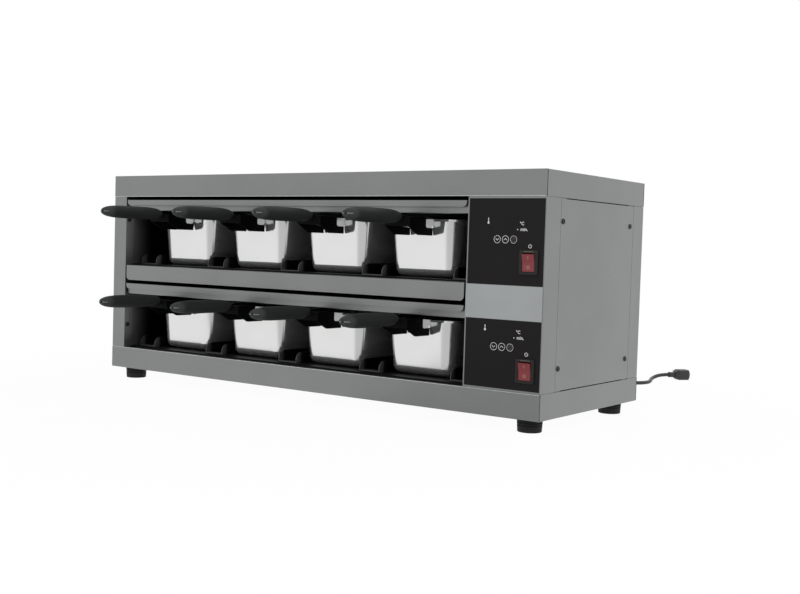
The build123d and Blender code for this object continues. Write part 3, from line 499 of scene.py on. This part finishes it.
def key_marks(row, key, x, z):
    """Mark a key with a ring around an arrow or a clock."""
    piece, body = f"{row}_{key}_key", f"{row}_{key}_button"
    if key == "timer":
        hands = [(x, z + clock_hand_height), (x, z), (x + clock_hand_width, z)]
        clock = circle((x, z), clock_radius, clock_line) + stroke(hands, clock_line)
        mark(f"{row}_{key}_icon", clock, piece, body, "print_grey")
        ring = circle((x, z), timer_ring_radius, timer_ring_width)
    else:
        sign = 1 if key == "up" else -1
        arrow = [(x - arrow_half_width, z - sign * arrow_end), (x, z + sign * arrow_tip),
                 (x + arrow_half_width, z - sign * arrow_end)]
        ring = circle((x, z), key_ring_radius, key_ring_width) + stroke(arrow, sign_width)
    mark(f"{row}_{key}_ring", ring, piece, body, "print_white")


def switch_marks(row, z):
    """Mark a rocker with a line and a circle, and paint a light strip on its housing above, a
    painted highlight along the bezel's top ledge.
    """
    signs = (stroke([(switch_x, z + end) for end in on_line_ends], switch_line_width)
             + circle((switch_x, z + off_ring_z), off_ring_radius, off_ring_width))
    mark(f"{row}_switch_signs", signs, f"{row}_power_rocker", f"{row}_rocker",
         "print_cream")
    strip = stroke([(ledge_highlight_left, z + ledge_highlight_z), (ledge_highlight_right, z + ledge_highlight_z)], ledge_highlight_width)
    mark(f"{row}_switch_ledge_highlight", strip, "switch_housings", "cabinet", "ledge_highlight_grey")


def handle_marks(row, index):
    """Paint a handle's tip with a dark eye, the painted shade of a small hole, between two short
    light lines, painted highlights beside the hole.
    """
    handle, drawer = f"{row}_handle_{index}", f"{row}_drawer_{index}"
    low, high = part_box(handle)
    middle, height = (low.x + high.x) / 2 / MM, high.z / MM - tip_drop
    line_highlights = []
    for side in (-1, 1):
        points = [(middle + side * (line_highlight_start + line_highlight_step * step), height)
                  for step in range(line_highlight_points)]
        line_highlights += stroke(points, line_highlight_width)
    # Two short light lines: painted highlights beside the hole.
    mark(f"{handle}_line_highlight", line_highlights, handle, drawer, "tip_line_highlight")
    # A dark disc: painted shade of the hole in the tip.
    mark(f"{handle}_eye", disc((middle, height), eye_radius), handle, drawer, "seam_and_hole_shade",
         lift=eye_lift)


for row in rows:
    signs = overlay_signs(display_z[row], power_z[row])
    mark(f"{row}_markings", signs, f"{row}_control_overlay", "cabinet", "print_white")
    for key in keys:
        key_marks(row, key, key_x[key], key_z[row])
    switch_marks(row, switch_z[row])
    for index in range(1, 5):
        handle_marks(row, index)

# Painted highlights along the two caps' open edges, and dark corner seams of the two caps
cap_low, cap_high = (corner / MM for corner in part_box("top_cap"))
tray_low, tray_high = (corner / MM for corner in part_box("bottom_tray"))
half_width = cap_high.x
highlight_inset, highlight_width, highlight_end_inset = 0.6, 0.7, 1.0
highlight_end = half_width - highlight_end_inset
corner_inset, open_inset, fold_inset = 1.3, 1.0, 1.5
seam_width, seam_end_radius, seam_end_inset = 1.7, 1.25, 0.8
# A light line along each cap's open edge: a painted highlight.
for name, z in (("top_cap", cap_low.z + highlight_inset), ("bottom_tray", tray_high.z - highlight_inset)):
    edge_highlight = stroke([(-highlight_end, z), (highlight_end, z)], highlight_width)
    mark(f"{name}_edge", edge_highlight, name, "cabinet", "highlight_steel")
for name, low, high in (("top_cap", cap_low.z + open_inset, cap_high.z - fold_inset),
                        ("bottom_tray", tray_low.z + fold_inset, tray_high.z - open_inset)):
    for side, toward in (("left", (1, 0, 0)), ("right", (-1, 0, 0))):
        for end, y in (("front", cap_low.y + corner_inset), ("rear", cap_high.y - corner_inset)):
            seam = (stroke([(y, low), (y, high)], seam_width)
                    + disc((y, low + seam_end_inset), seam_end_radius)
                    + disc((y, high - seam_end_inset), seam_end_radius))
            mark(f"{name}_{side}_{end}_seam", seam, name, "cabinet", "seam_and_hole_shade",
                 toward, reach=half_width)


# Floor, background and light
ambient_strength = 0.62
dim_side = (0.7, -0.714, 0)
dim_start, dim_full, dim_share = 0.42, 0.9, 0.36
dim_centre = (0.1, -0.1, 0)
floor_reach = 9.0
fade_start, fade_full, fade_share = 0.6, 1.3, 0.96


def seen_directly(tree):
    """Give 1 for what the camera, a reflection or clear material shows, and 0 for other light."""
    rays = tree.nodes.new("ShaderNodeLightPath").outputs
    seen = calculate(tree, "MAXIMUM", rays["Is Camera Ray"], rays["Is Glossy Ray"])
    return calculate(tree, "MAXIMUM", seen, rays["Is Transmission Ray"])


def studio_brightness(tree, place, centre):
    """Give 1, or less where a reflection looks to the studio's dimmer front right side."""
    outward = calculate(tree, "SUBTRACT", place, centre, kind=vector_math, output="Vector")
    unit = calculate(tree, "NORMALIZE", outward, kind=vector_math, output="Vector")
    turn = calculate(tree, "DOT_PRODUCT", unit, dim_side, kind=vector_math)
    dimming = map_range(tree, turn, dim_start, dim_full, 0.0, dim_share, "SMOOTHSTEP")
    glossy = tree.nodes.new("ShaderNodeLightPath").outputs["Is Glossy Ray"]
    return calculate(tree, "SUBTRACT", 1.0, calculate(tree, "MULTIPLY", dimming, glossy))


world = bpy.data.worlds.new("studio")
scene.world = world
world.use_nodes = True
tree = world.node_tree
tree.nodes.clear()
around = tree.nodes.new("ShaderNodeTexCoord").outputs["Generated"]
backgrounds = []
for strength in (ambient_strength, studio_brightness(tree, around, (0, 0, 0))):
    background = tree.nodes.new("ShaderNodeBackground")
    background.inputs["Color"].default_value = white
    feed(tree, strength, background.inputs["Strength"])
    backgrounds.append(background.outputs["Background"])
backdrop = mix_shaders(tree, seen_directly(tree), *backgrounds)
feed(tree, backdrop, tree.nodes.new("ShaderNodeOutputWorld").inputs["Surface"])

floor_mesh = bpy.data.meshes.new("floor")
work = bmesh.new()
bmesh.ops.create_grid(work, x_segments=24, y_segments=24, size=floor_reach)
work.to_mesh(floor_mesh)
work.free()
floor = bpy.data.objects.new("floor", floor_mesh)
scene.collection.objects.link(floor)
paper = bpy.data.materials.new("paper")
paper.use_nodes = True
tree = paper.node_tree
shader = tree.nodes["Principled BSDF"]
shader.inputs["Base Color"].default_value = (0.86, 0.86, 0.86, 1)
shader.inputs["Roughness"].default_value = 0.9
shader.inputs["Specular IOR Level"].default_value = 0.0
ground = tree.nodes.new("ShaderNodeTexCoord").outputs["Object"]
glow = tree.nodes.new("ShaderNodeEmission")
glow.inputs["Color"].default_value = white
feed(tree, studio_brightness(tree, ground, dim_centre), glow.inputs["Strength"])
distance = calculate(tree, "LENGTH", ground, kind=vector_math)
fade = map_range(tree, distance, fade_start, fade_full, fade_share, 1.0)
share = calculate(tree, "MULTIPLY", seen_directly(tree), fade)
lit_paper = mix_shaders(tree, share, shader.outputs["BSDF"], glow.outputs["Emission"])
feed(tree, lit_paper, tree.nodes["Material Output"].inputs["Surface"])
floor_mesh.materials.append(paper)


def softbox(name, place, aim, size, power):
    """Add a square area light that looks at a point."""
    lamp = bpy.data.lights.new(name, "AREA")
    lamp.shape = "SQUARE"
    lamp.size = size
    lamp.energy = power
    light = bpy.data.objects.new(name, lamp)
    light.location = place
    light.rotation_euler = (Vector(aim) - Vector(place)).to_track_quat("-Z", "Y").to_euler()
    scene.collection.objects.link(light)
    return light


softbox("key_light", place=(2.4, -1.6, 2.0), aim=(0, 0, 0.2), size=1.6, power=33)
fill = softbox("fill_light", place=(-2.4, -2.0, 1.5), aim=(0, 0, 0.2), size=2.0, power=18)
fill.visible_glossy = False
softbox("back_light", place=(0.3, 2.4, 2.0), aim=(0, 0.3, 0.1), size=1.6, power=14)

bpy.context.view_layer.update()
